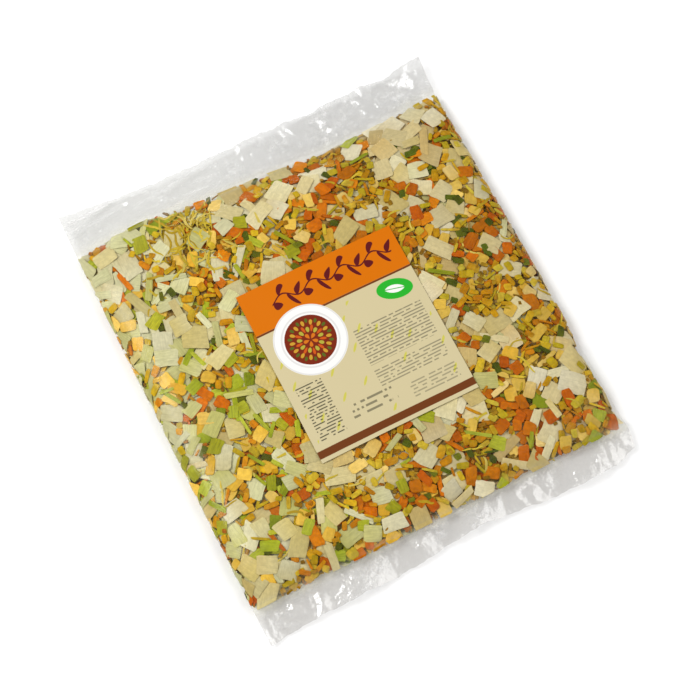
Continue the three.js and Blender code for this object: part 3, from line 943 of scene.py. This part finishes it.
class Heap:
    """Flakes laid one after another on a grid of heights, each resting on those before it."""

    def __init__(self, rng):
        self.rng = rng
        self.limit, self.height = heap_limits(rng)
        self.hidden = (self.limit <= UNDER_LABEL + 0.02) & GRID_TOP  # under the label
        self.owner = np.full(self.height.shape, -1)
        self.flakes = []
        self.patches = {name: hills(rng, *PATCH_WAVES) for name in CUTS}
        self.fineness = hills(rng, *FINENESS_WAVES)

    def draw_cut(self, x, y):
        """A cut for this place. Each kind has its own patches, and green ones lie mostly to the left."""
        left = leftward(x)
        fine = FINENESS * float(self.fineness(x, y))
        squares = math.exp(gathered("squares", x, y))
        gathering = {name: squares for name in SQUARES}
        gathering["carrot_pieces"] = math.exp(gathered("carrots", x, y))
        weights = []
        for name, cut in CUTS.items():
            usual, more, power = LEANS.get(name, (1.0, 0.0, 1))
            lean = (usual + more * left**power) * gathering.get(name, 1.0)
            patch = PATCHINESS * float(self.patches[name](x, y)) + (fine if cut["small"] else -fine)
            weights.append(cut["share"] * lean * math.exp(patch))
        return list(CUTS)[self.rng.choice(len(CUTS), p=np.array(weights) / sum(weights))]

    def shape(self, cut):
        """A crooked four-sided outline with its corners cut, in the flake's own frame, and its length."""
        rng = self.rng
        long, wide = rng.uniform(*cut["long"]), rng.uniform(*cut["wide"])
        if rng.random() < cut["slim"]:
            long, wide = long * SLIM[0], wide * SLIM[1]
        corners = np.array([[-1, -1], [1, -1], [1, 1], [-1, 1]]) * (1 - cut["crooked"] * rng.random((4, 2)))
        corners = corners * [long / 2, wide / 2]
        stops = [cut["cut"], 1 - cut["cut"]] if cut["small"] else [cut["cut"], 0.5, 1 - cut["cut"]]
        at = np.array(stops)[:, None]
        points = np.concatenate([mix(corners[i], corners[(i + 1) % 4], at) for i in range(4)])
        return points + rng.normal(0, WANDER, points.shape) * wide, long

    def roomiest(self):
        """Of a few places drawn at random, the one with the most room under the film."""
        iu = self.rng.integers(0, U_CELLS, TRIES)
        iy = self.rng.integers(ROOM_REACH, Y_CELLS - ROOM_REACH, TRIES)
        room = 0
        for du, dy in ((0, 0), (1, 0), (-1, 0), (0, 1), (0, -1)):
            a = (iu + du * ROOM_REACH) % U_CELLS
            b = np.clip(iy + dy * ROOM_REACH, 0, Y_CELLS - 1)
            room = room + self.limit[a, b] - self.height[a, b]
        best = int(np.argmax(room + 1e3 * ~self.hidden[iu, iy]))
        return iu[best], iy[best]

    def window(self, iu, iy, reach):
        """The cells within reach of one, and how far from it they are."""
        steps = np.arange(-reach, reach + 1)
        kept = (iy + steps >= 0) & (iy + steps < Y_CELLS)
        cells = np.ix_((iu + steps) % U_CELLS, (iy + steps)[kept])
        return cells, steps[:, None] * U_STEP, (steps * Y_STEP)[None, kept]

    def lay_chip(self, name, iu, iy, overfull):
        """Lays one flake, unless it would stand out past the film by more than overfull."""
        rng, cut = self.rng, CUTS[name]
        points, long = self.shape(cut)
        yaw = rng.uniform(0, 2 * math.pi)
        thick = rng.uniform(*cut["thick"])
        curl = rng.normal(0, CURLING) * cut["curl"]
        lean = rng.uniform(0, math.pi)
        cells, du, dy = self.window(iu, iy, int(np.abs(points).max() * DIAGONAL / CELL) + 1)
        c, s = math.cos(yaw), math.sin(yaw)
        p, q = du * c + dy * s, dy * c - du * s
        within = is_within(points, p, q)
        if within.sum() < LEAST_CELLS:
            return False
        heights = self.height[cells]
        under = heights[within]
        pu, py = np.broadcast_to(du, p.shape)[within], np.broadcast_to(dy, p.shape)[within]
        mean_u, mean_y = pu.mean(), py.mean()
        slope_u, slope_y = resting_slope(pu - mean_u, py - mean_y, under)
        above = under - slope_u * (pu - mean_u) - slope_y * (py - mean_y)
        rank = int(BEARING * len(above))
        level = np.partition(above, rank)[rank] - slope_u * mean_u - slope_y * mean_y
        along = p * math.cos(lean) + q * math.sin(lean)
        top = level + slope_u * du + slope_y * dy + thick + bent(curl, along / (long / 2))
        if (top[within] - self.limit[cells][within]).mean() > overfull:
            return False
        higher = within & (top > heights)
        self.height[cells] = np.where(higher, top, heights)
        self.owner[cells] = np.where(higher, len(self.flakes), self.owner[cells])
        first, second = (linear(*cut["tints"][i]) for i in rng.integers(0, len(cut["tints"]), 2))
        # at the left, the multipliers also carry painted light from the left
        shade = rng.uniform(*SHADES) * mix(1.0, np.array(cut["left"]), leftward(GRID_X[iu, 0]))
        self.flakes.append(
            dict(
                name=name, points=points, yaw=yaw, thick=thick, curl=curl, lean=lean, long=long,
                u=float(GRID_U[iu, 0]), y=float(GRID_Y[0, iy]), level=level, slope=(slope_u, slope_y),
                tint=first * shade, far_tint=mix(first, second, 0.5) * shade, offset=rng.uniform(0, 500, 2),
            )
        )
        return True

    def lay_shred(self, iu, iy):
        """Lays one thin strand, which follows what is under it."""
        rng, steps = self.rng, SHRED["steps"]
        at = np.arange(steps + 1)
        long, wide = rng.uniform(*SHRED["long"]), rng.uniform(*SHRED["wide"])
        heading = rng.uniform(0, 2 * math.pi) + np.cumsum(rng.normal(0, SHRED["kink"], steps + 1))
        heading = (heading + rng.normal(0, SHRED["curve"]) * at)[:-1]
        step = long / steps
        path_u = float(GRID_U[iu, 0]) + np.concatenate([[0], np.cumsum(np.cos(heading) * step)])
        path_y = float(GRID_Y[0, iy]) + np.concatenate([[0], np.cumsum(np.sin(heading) * step)])
        if path_y.min() < NEAR_FILL + 1 or path_y.max() > FAR_FILL - 1:
            return False
        thick = rng.uniform(*SHRED["thick"])
        under = sample(self.height, path_u, path_y)
        padded = np.pad(under, 1, mode="edge")
        level = np.maximum(under, (padded[:-2] + padded[2:]) / 2) + thick / 2
        if (level - sample(self.limit, path_u, path_y)).mean() > SHRED_OVERFULL:
            return False
        fine = np.linspace(0, steps, steps * 4 + 1)
        around = 1 if wide > SHRED["broad"] else 0
        for u, y, middle in zip(*(np.interp(fine, at, path) for path in (path_u, path_y, level))):
            top = middle + thick / 2
            ku = int((u + HALF_LOOP) / U_STEP) % U_CELLS
            ky = int((y - NEAR_FILL) / Y_STEP)
            for a in range(-around, around + 1):
                for b in range(-around, around + 1):
                    cell = ((ku + a) % U_CELLS, min(max(ky + b, 0), Y_CELLS - 1))
                    if top > self.height[cell]:
                        self.height[cell] = top
                        self.owner[cell] = len(self.flakes)
        tint = linear(*SHRED["tints"][rng.integers(len(SHRED["tints"]))]) * rng.uniform(*SHADES)
        self.flakes.append(
            dict(name="yellow_shreds", u=path_u, y=path_y, level=level, wide=wide, thick=thick, tint=tint)
        )
        return True

    def fill(self):
        """Lays flakes of every cut until so many in a row find no room."""
        refused = 0
        while len(self.flakes) < MOST_FLAKES and refused < PATIENCE:
            iu, iy = self.roomiest()
            x, y = float(GRID_X[iu, 0]), float(GRID_Y[0, iy])
            away = ((x - CLUMP["x"]) / CLUMP["width"]) ** 2 + ((y - CLUMP["y"]) / CLUMP["length"]) ** 2
            clump = math.exp(-away) * GRID_TOP[iu, 0]
            if self.rng.random() < mix(SHREDS_ANYWHERE, SHREDS_IN_CLUMP, clump):
                done = self.lay_shred(iu, iy)
            else:
                name = self.draw_cut(x, y)
                done = self.lay_chip(name, iu, iy, OVERFULL[name in SQUARES])
            refused = 0 if done else refused + 1

    def plug_gaps(self, names, rounds, depth):
        """Drops pieces where a deep gap is left."""
        room = self.limit[::GAP_STRIDE, ::GAP_STRIDE]
        for _ in range(rounds):
            gaps = np.argwhere(room - self.height[::GAP_STRIDE, ::GAP_STRIDE] > depth)
            if len(gaps) == 0:
                return
            for pick in self.rng.permutation(len(gaps))[: max(1, len(gaps) // 12)]:
                iu, iy = gaps[pick] * GAP_STRIDE
                if not self.hidden[iu, iy]:
                    self.lay_chip(names[self.rng.integers(len(names))], iu, iy, PLUG_OVERFULL)

    def seen(self, name):
        """The flakes of a kind that show."""
        cells = np.bincount(self.owner[self.owner >= 0], minlength=len(self.flakes))
        found = zip(self.flakes, cells >= SHOWN_CELLS)
        return [flake for flake, shown in found if shown and flake["name"] == name]


def pressed(out, u, y, limit_grid):
    """Heights as the film presses them: those past its limit are flattened against it."""
    limit = sample(limit_grid, u, y)
    return limit - PRESS * np.logaddexp(0, (limit - out) / PRESS)


# Rings of a flake from its lower rim up: part of its outline's reach, and height in thicknesses.
CHIP_RINGS = np.array([[0.96, 0.0], [1.0, 0.55], [0.93, 1.0], [0.5, 1.0]])
BIT_RINGS = np.array([[0.94, 0.0], [1.0, 0.5], [0.86, 1.0]])
END_GAP = 0.6  # how far the flakes stay from the filling's ends


def fan_faces(rings, sides):
    """Triangles of one flake: rings joined up, and a fan at the top and at the bottom."""
    ring, side = np.meshgrid(np.arange(rings - 1), np.arange(sides), indexing="ij")
    a, b = (ring * sides + side).ravel(), (ring * sides + (side + 1) % sides).ravel()
    around = np.arange(sides)
    after = (around + 1) % sides
    last = (rings - 1) * sides
    centre = np.full(sides, rings * sides)
    groups = [
        np.stack([a, b, b + sides], 1),
        np.stack([a, b + sides, a + sides], 1),
        np.stack([last + around, last + after, centre], 1),
        np.stack([after, around, centre + 1], 1),
    ]
    return np.concatenate(groups)


def column(flakes, key):
    return np.array([flake[key] for flake in flakes])[:, None]


def joined(places, faces, uv, tint):
    """Flat arrays for one mesh, from arrays with a row for each flake; faces are one flake's own."""
    faces = faces + np.arange(len(places))[:, None, None] * (places[0].size // 3)
    return places.reshape(-1, 3), faces.reshape(-1, 3), uv.reshape(-1, 2), tint.reshape(-1, 3)


def chip_mesh(flakes, limit_grid):
    """All the flakes of one cut as arrays: points, faces, uv and tint."""
    rings = BIT_RINGS if CUTS[flakes[0]["name"]]["small"] else CHIP_RINGS
    yaw, thick, curl, lean, long = (column(flakes, k) for k in ("yaw", "thick", "curl", "lean", "long"))
    u, y, level, slopes = (column(flakes, key) for key in ("u", "y", "level", "slope"))
    points = np.stack([flake["points"] for flake in flakes])
    count, sides = points.shape[:2]
    local = (points[:, None] * rings[:, 0][None, :, None, None]).reshape(count, -1, 2)
    local = np.concatenate([local, np.zeros((count, 2, 2))], 1)
    lift = np.concatenate([np.repeat(rings[:, 1], sides), [1.0, 0.0]])[None]
    p, q = local[..., 0], local[..., 1]
    du, dy = p * np.cos(yaw) - q * np.sin(yaw), p * np.sin(yaw) + q * np.cos(yaw)
    bend = bent(curl, (p * np.cos(lean) + q * np.sin(lean)) / (long / 2))
    out = level + slopes[..., 0] * du + slopes[..., 1] * dy + bend + lift * thick
    u, y = u + du, np.clip(y + dy, NEAR_FILL + END_GAP, FAR_FILL - END_GAP)
    places = off_film(u, y, pressed(out, u, y, limit_grid))
    tint = mix(column(flakes, "tint"), column(flakes, "far_tint"), (0.5 + p / long)[..., None])
    return joined(places, fan_faces(len(rings), sides), local + column(flakes, "offset"), tint)


def shred_mesh(shreds, limit_grid):
    """All the strands as arrays: each is a flattened tube with four sides and pinched ends."""
    path_u, path_y, level = (np.stack([shred[key] for shred in shreds]) for key in ("u", "y", "level"))
    wide, thick = column(shreds, "wide"), column(shreds, "thick")
    count, stops = path_u.shape
    taper = np.sin(np.linspace(0.12, math.pi - 0.12, stops))[None] ** 0.4
    tu, ty = np.gradient(path_u, axis=1), np.gradient(path_y, axis=1)
    size = np.hypot(tu, ty)
    nu, ny = -ty / size * wide / 2 * taper, tu / size * wide / 2 * taper
    up = thick / 2 * taper
    u = np.stack([path_u + nu, path_u, path_u - nu, path_u], 2)
    y = np.stack([path_y + ny, path_y, path_y - ny, path_y], 2)
    out = np.stack([level, level + up, level, level - up], 2)
    places = off_film(u, y, pressed(out, u, y, limit_grid))
    ring = np.arange(4)
    faces = []
    for stop in range(stops - 1):
        for i in ring:
            a, b = stop * 4 + i, stop * 4 + (i + 1) % 4
            faces += [(a, a + 4, b + 4), (a, b + 4, b)]
    last = (stops - 1) * 4
    faces += [(0, 1, 2), (0, 2, 3), (last, last + 2, last + 1), (last, last + 3, last + 2)]
    length = np.broadcast_to(np.arange(stops)[None, :, None] * 2.0, u.shape)
    offset = np.arange(count)[:, None, None] * 7.3
    uv = np.stack([length + offset, np.broadcast_to(ring * 0.5, u.shape) + offset], -1)
    return joined(places, np.array(faces), uv, column(shreds, "tint") * np.ones((1, stops * 4, 1)))


# Each piece of vegetables: its slot, its material's name, fibre, mottle, roughness and relief.
FINISHES = {
    "onion_squares": ("pale_flakes", "dried_onion", 0.12, 0.14, 0.5, 0.12),
    "leek_squares": ("pale_flakes", "dried_leek", 0.22, 0.1, 0.5, 0.15),
    "parsnip_pieces": ("pale_flakes", "dried_parsnip", 0.12, 0.16, 0.55, 0.15),
    "carrot_pieces": ("carrot", "dried_carrot", 0.14, 0.25, 0.55, 0.2),
    "green_leek": ("green_leaf", "dried_green_leek", 0.3, 0.15, 0.5, 0.15),
    "dark_leaves": ("green_leaf", "dried_leaf", 0.25, 0.25, 0.6, 0.2),
    "golden_bits": ("yellow_shreds", "dried_golden_bits", 0.12, 0.25, 0.55, 0.2),
    "brown_bits": ("yellow_shreds", "dried_brown_bits", 0.15, 0.3, 0.65, 0.2),
    "yellow_shreds": ("yellow_shreds", "dried_shreds", 0.25, 0.1, 0.55, 0.15),
}


def make_vegetables():
    """The flakes, one piece for each kind. Returns the heap that they lie in, for the film."""
    heap = Heap(np.random.default_rng(SEED))
    heap.fill()
    for plug in PLUGS:
        heap.plug_gaps(*plug)
    for name, (slot, *finish) in FINISHES.items():
        build = shred_mesh if name == "yellow_shreds" else chip_mesh
        points, faces, uv, tint = build(heap.seen(name), heap.limit)
        made = make_object(name, points, [faces], uv, tint, sharp_angle=38)
        add_piece(made, flake_finish(*finish), slot)
    return heap


# ---------- the core under the flakes ----------

CORE_CELLS = 90
CORE_INSET = (3.2, 5.0)  # at the sides, and at the filling's ends
CORE_TOP = HEAP_DEPTH - 0.7  # how far it lies under the bag's top
CORE_LOW = HEAP_DEPTH - 0.9  # and above its underside
CORE_LEAST = 0.1  # half its least thickness
CORE_BUMP = 0.25
CORE_WAVES = (16, 4, 11)


def make_core():
    """A smaller pillow, darkened with painted shade, that backs the flakes, so that no gap shows through the
    bag.
    """
    half, inset_y = HALF_WIDTH - CORE_INSET[0], CORE_INSET[1]
    x = np.linspace(-1, 1, CORE_CELLS + 1)[:, None] * half
    y = np.linspace(NEAR_FILL + inset_y, FAR_FILL - inset_y, CORE_CELLS + 1)[None, :]
    stretched = x * HALF_WIDTH / half
    edge = edge_height(stretched, y)
    bumps = CORE_BUMP * hills(np.random.default_rng(SEED + 1), *CORE_WAVES)(x, y)
    top_full = roll(stretched, TOP_ROLL) * slope(y, TOP_SLOPE)
    low_full = roll(stretched, BOTTOM_ROLL) * slope(y, BOTTOM_SLOPE)
    top = mix(edge, crown(x, y), top_full) - CORE_TOP + bumps
    low = mix(edge, 0, low_full) + CORE_LOW + bumps
    middle = (top + low) / 2
    rim = np.ones(middle.shape, bool)
    rim[1:-1, 1:-1] = False
    top = np.where(rim, middle, np.maximum(top, middle + CORE_LEAST))
    low = np.where(rim, middle, np.minimum(low, middle - CORE_LEAST))
    grid_x, grid_y = np.broadcast_arrays(x, y)
    points = np.concatenate([np.stack([grid_x, grid_y, z], -1).reshape(-1, 3) for z in (top, low)])
    index = np.arange(rim.size).reshape(rim.shape)
    lower = np.where(rim, index, index + index.size)  # the two sheets share their rim
    faces = np.concatenate([quads(index), quads(lower)[:, [0, 3, 2, 1]]])
    used, renumbered = np.unique(faces, return_inverse=True)
    core = make_object("core", points[used], [renumbered.reshape(faces.shape)])
    return add_piece(core, core_finish(), "pale_flakes")


# ---------- the film ----------

DEEPEST = (-1.3, -0.6)  # how far in the film sinks between flakes, on the top and on the underside
BRIDGED = 9  # how many cells on each side of it the film bridges
FILM_SOFTNESS = (2.0, 1.0)  # cells that its form is blurred by, before and after it clears the flakes
CLEARANCE = 0.12  # of the film off the flakes
END_BLEND = 4.0  # over which the film comes down to the solid's surface at the filling's ends

# Creases of the flaps: whether on the far one, count, range of x, height, and fineness.
CREASES = [
    (True, 90, (-25, 112), 1.0, 1.0),
    (True, 24, (-112, -25), 0.5, 1.0),
    (False, 110, (-112, 112), 1.0, 1.0),
    (False, 170, (-112, 112), 0.4, 2.2),
    (True, 110, (-10, 112), 0.35, 2.2),
]
CREASE_LONG = (4, 14)
CREASE_WIDE = (1.0, 2.2)
# Where the near flap is crumpled most: strength, x of the middle and width.
NEAR_CRUMPLED = [(1.0, -90.0, 16.0), (0.6, -14.0, 16.0), (0.8, 46.0, 13.0), (1.0, 92.0, 14.0)]
# Long ridges of the far flap: side, distance from its end, height, width and slope along x.
FAR_RIDGES = [
    (-1, 11.5, 1.1, 1.8, 0.03), (-1, 6.0, 0.8, 1.6, 0.03), (-1, 17.0, 0.6, 1.4, 0.02),
    (1, 20.0, 0.8, 1.3, 0.0), (1, 16.0, 0.5, 1.1, 0.03),
]

# Waves of the cut ends: height, length for each radian, and phase.
RAGGED = [(0.22, 1.9, 1.0), (0.25, 3.7, 0.0), (0.2, 0.83, 0.0)]

FILM_HALF = 220  # steps from one side edge to the other, over the bag and again under it
FILM_STATIONS = (24, 150, 30)  # along the near flap, the filling and the far flap
FLOOR_GAP = 0.03


def spread(grid, cells, pick):
    """The largest value within so many cells each way, or the smallest: pick is np.maximum or np.minimum."""
    out = grid
    for shift in range(1, cells + 1):
        out = pick(out, pick(np.roll(grid, shift, 0), np.roll(grid, -shift, 0)))
    wide = np.pad(out, ((0, 0), (cells, cells)), mode="edge")
    result = out
    for shift in range(2 * cells + 1):
        result = pick(result, wide[:, shift : shift + grid.shape[1]])
    return result


def blurred(grid, cells):
    """A smooth blur of about so many cells."""
    reach = int(3 * cells)
    weight = np.exp(-0.5 * (np.arange(-reach, reach + 1) / cells) ** 2)
    weight /= weight.sum()
    out = sum(w * np.roll(grid, shift, 0) for w, shift in zip(weight, range(-reach, reach + 1)))
    wide = np.pad(out, ((0, 0), (reach, reach)), mode="edge")
    return sum(w * wide[:, i : i + grid.shape[1]] for i, w in enumerate(weight))


def film_over(heap):
    """How far the film stands off the solid's surface, over the flakes' grid."""
    tops = pressed(heap.height, *np.broadcast_arrays(GRID_U, GRID_Y), heap.limit)
    tops = np.maximum(tops, np.where(GRID_TOP, *DEEPEST))
    bridged = spread(spread(tops, BRIDGED, np.maximum), BRIDGED, np.minimum)
    lying = np.maximum(blurred(bridged, FILM_SOFTNESS[0]), spread(tops, 1, np.maximum))
    lying = blurred(lying, FILM_SOFTNESS[1]) + CLEARANCE
    lying = mix(lying, 0.0, on_label(2.5, 0.5))
    ends = np.minimum(GRID_Y - NEAR_FILL, FAR_FILL - GRID_Y)
    return lying * smoothstep(ends, 0, END_BLEND)


def creases(rng, x, y, count, x_range, y_range, height, fineness):
    """Sharp folds: each has its own place, heading, length, width and height."""
    at_x, at_y = rng.uniform(*x_range, count), rng.uniform(*y_range, count)
    turn = rng.normal(math.pi / 2, 0.55, count)
    long, wide = (rng.uniform(*span, count) / fineness for span in (CREASE_LONG, CREASE_WIDE))
    high = rng.uniform(-1, 1, count) * height
    total = np.zeros(np.broadcast(x, y).shape)
    for cx, cy, a, l, w, h in zip(at_x, at_y, turn, long, wide, high):
        along = (x - cx) * math.cos(a) + (y - cy) * math.sin(a)
        beside = (y - cy) * math.cos(a) - (x - cx) * math.sin(a)
        total += h * np.exp(-np.abs(beside) / w - (along / l) ** 2)
    return total


def flap_relief(x, y, station):
    """How far creases and long ridges lift both sheets of the flaps; station is y on the plain outline."""
    rng = np.random.default_rng(SEED + 2)
    crumpled = 0.3 + 0.7 * bulges(NEAR_CRUMPLED, x)
    relief = 0
    for is_far, count, x_range, height, fineness in CREASES:
        y_range = (FAR_FILL + 2, HALF_LENGTH) if is_far else (-HALF_LENGTH, NEAR_FILL - 2)
        folds = creases(rng, x, y, count, x_range, y_range, height, fineness)
        relief = relief + folds * (1 if is_far else crumpled)
    relief = relief * smoothstep(np.maximum(along_near(station), along_far(station)), 0.0, 0.4)
    left = smoothstep(-x, -15, 25)
    for side, from_edge, height, width, lean in FAR_RIDGES:
        slanted = from_edge + lean * (x - side * 60) + 0.8 * np.sin(x / 23)
        across = (HALF_LENGTH - station - slanted) / width
        on_side = left if side < 0 else (1 - left) * (1 + 0.4 * np.sin(x / 1.7))
        relief = relief + on_side * height * (1 + 0.3 * np.sin(x / 8)) * np.exp(-across * across)
    return relief


def ragged(x, station):
    """How far the cut ends of the film wander, along y."""
    uneven = sum(height * np.sin(x / length + phase) for height, length, phase in RAGGED)
    at_end = smoothstep(np.maximum(along_near(station), along_far(station)), 0.8, 1.0)
    return uneven * at_end * np.sign(station)


def film_masks(x, station):
    """Where the film is an empty flap, where it is the far flap's calm left half, and where it gets painted
    light beside the filling's ends.
    """
    outside = np.maximum(NEAR_FILL - station, station - FAR_FILL)  # how far past the filling
    flap = smoothstep(outside, -0.5, 1.5)
    calm = (station > FAR_FILL) * smoothstep(-x, -30, 40)
    # painted light: a whitish veil beside the filling's ends, which lifts the shade there
    painted_light = np.exp(-((outside / 3.5) ** 2))
    return np.stack([flap, calm, painted_light], -1).reshape(-1, 3)


def make_film(heap):
    """The whole film as one closed sheet: over the flakes, and out along the flaps to their ends."""
    over = np.linspace(-EDGE_U, EDGE_U, FILM_HALF + 1)
    under = np.linspace(EDGE_U, LOOP - EDGE_U, FILM_HALF + 1)[1:-1]
    near = np.linspace(-HALF_LENGTH, NEAR_FILL, FILM_STATIONS[0])
    body = np.linspace(NEAR_FILL, FAR_FILL, FILM_STATIONS[1])
    far = np.linspace(FAR_FILL, HALF_LENGTH, FILM_STATIONS[2])
    stations = np.concatenate([near[:-1], body, far[1:]])
    uu, yy = np.meshgrid(np.concatenate([over, under]), stations, indexing="ij")
    points = film_base(uu, yy)
    inside = (yy >= NEAR_FILL) & (yy <= FAR_FILL)
    stand_off = np.where(inside, sample(film_over(heap), uu, yy), 0)
    points += sample(NORMAL, uu, yy) * stand_off[..., None]
    points[..., 2] += flap_relief(points[..., 0], points[..., 1], yy)
    points[..., 1] += ragged(points[..., 0], yy)
    points[..., 2] = np.maximum(points[..., 2], FLOOR_GAP)

    index = np.arange(uu.size).reshape(uu.shape)
    groups = [quads(np.vstack([index, index[:1]]))]
    opposite = (2 * FILM_HALF - np.arange(FILM_HALF + 1)) % (2 * FILM_HALF)
    for station, turn in ((0, 1), (len(stations) - 1, -1)):
        top, low = index[: FILM_HALF + 1, station], index[opposite, station]
        strip = np.stack([top[1:-2], low[1:-2], low[2:-1], top[2:-1]], -1)
        tips = np.array([[top[0], low[1], top[1]], [top[-2], low[-2], top[-1]]])
        groups += [strip[:, ::turn], tips[:, ::turn]]
    film = make_object("film", points, groups, tint=film_masks(points[..., 0], yy), sharp_angle=70)
    return add_piece(film, film_finish(), "film", "bag")


# ---------- the label ----------

LABEL_CELLS = (46, 52)
RIPPLE = 0.1
RIPPLE_WAVES = (8, 18, 45)


def make_label():
    """A thin sheet of paper that follows the film under it."""
    s = np.linspace(0, LABEL_WIDTH, LABEL_CELLS[0] + 1)[:, None]
    t = np.linspace(0, LABEL_LENGTH, LABEL_CELLS[1] + 1)[None, :]
    x, y = np.broadcast_arrays(LABEL_X - LABEL_WIDTH / 2 + s, LABEL_Y - LABEL_LENGTH / 2 + t)
    low = film_base(x, y)
    ripple = RIPPLE * hills(np.random.default_rng(SEED + 3), *RIPPLE_WAVES)(x, y)
    low[..., 2] += LABEL_LIFT + RIPPLE + ripple
    high = low + [0, 0, LABEL_THICKNESS]
    index = np.arange(x.size).reshape(x.shape)
    top = quads(index)
    rim = np.concatenate([index[:-1, 0], index[-1, :-1], index[:0:-1, -1], index[0, :0:-1]])
    after = np.roll(rim, -1)
    sides = np.stack([after, after + x.size, rim + x.size, rim], -1)
    faces = np.concatenate([top, top[:, ::-1] + x.size, sides])
    points = np.concatenate([high.reshape(-1, 3), low.reshape(-1, 3)])
    uv = np.stack(np.broadcast_arrays(s, t), -1).reshape(-1, 2)
    sheet = make_object("label_sheet", points, [faces], np.concatenate([uv, uv]), sharp_angle=40)
    return add_piece(sheet, label_finish(), "label_paper", "label")


# ---------- floor, light and camera ----------

CAMERA_TURN = -27.0  # degrees round the bag, from its near end
CAMERA_RISE = 71.1  # degrees above the floor
CAMERA_AWAY = 1.046  # metres
CAMERA_AIM = (-0.0007, -0.0060, 0.0)
LENS = 100.1

# Softboxes, all aimed at the bag's middle: place and side in metres, and power in watts.
SOFTBOXES = {
    "key": ((-0.65, 0.38, 1.13), 0.6, 11.5),
    "fill": ((0.9, -0.35, 1.2), 1.0, 5.9),
    "back": ((0.17, 1.03, 0.53), 0.15, 0.3),
}
WORLD_STRENGTH = 0.5

FLOOR_HALF = 3000.0
FLOOR_HEIGHT = -0.2
FLOOR_TINTS = linear(249, 249, 249), linear(252, 252, 252)


def floor_finish():
    made = Finish("pale_floor")
    cloud = made.noise(made.place(), 6.0, 2.0, 0.5)
    return made.principled(made.blend(*FLOOR_TINTS, cloud), 0.75, 0.2)


def make_floor():
    corners = np.array([[-1, -1], [1, -1], [1, 1], [-1, 1]]) * FLOOR_HALF
    floor = make_object("floor", np.insert(corners, 2, FLOOR_HEIGHT, axis=1), [np.array([[0, 1, 2, 3]])])
    floor.data.materials.append(floor_finish())


def add_looking(name, data, location, direction):
    """Adds a light or a camera to the scene, so that it looks along a direction."""
    made = bpy.data.objects.new(name, data)
    made.rotation_euler = Vector(direction).to_track_quat("-Z", "Y").to_euler()
    made.location = Vector(location)
    bpy.context.scene.collection.objects.link(made)
    return made


def make_light():
    world = bpy.data.worlds.new("studio")
    world.use_nodes = True
    background = world.node_tree.nodes["Background"]
    background.inputs["Color"].default_value = (1.0, 1.0, 1.0, 1.0)
    background.inputs["Strength"].default_value = WORLD_STRENGTH
    bpy.context.scene.world = world
    for name, (location, size, power) in SOFTBOXES.items():
        light = bpy.data.lights.new(name, "AREA")
        light.shape = "SQUARE"
        light.size = size
        light.energy = power
        add_looking(name, light, location, -np.array(location))
    bpy.context.scene.view_settings.view_transform = "Standard"


def make_camera():
    turn, rise = math.radians(CAMERA_TURN), math.radians(CAMERA_RISE)
    back = np.array([math.sin(turn) * math.cos(rise), -math.cos(turn) * math.cos(rise), math.sin(rise)])
    lens = bpy.data.cameras.new("camera")
    lens.sensor_width = 36.0
    lens.lens = LENS
    lens.clip_start = 0.01
    location = np.array(CAMERA_AIM) + back * CAMERA_AWAY
    bpy.context.scene.camera = add_looking("camera", lens, location, -back)


make_camera()
heap = make_vegetables()
make_core()
make_film(heap)
make_label()
make_floor()
make_light()
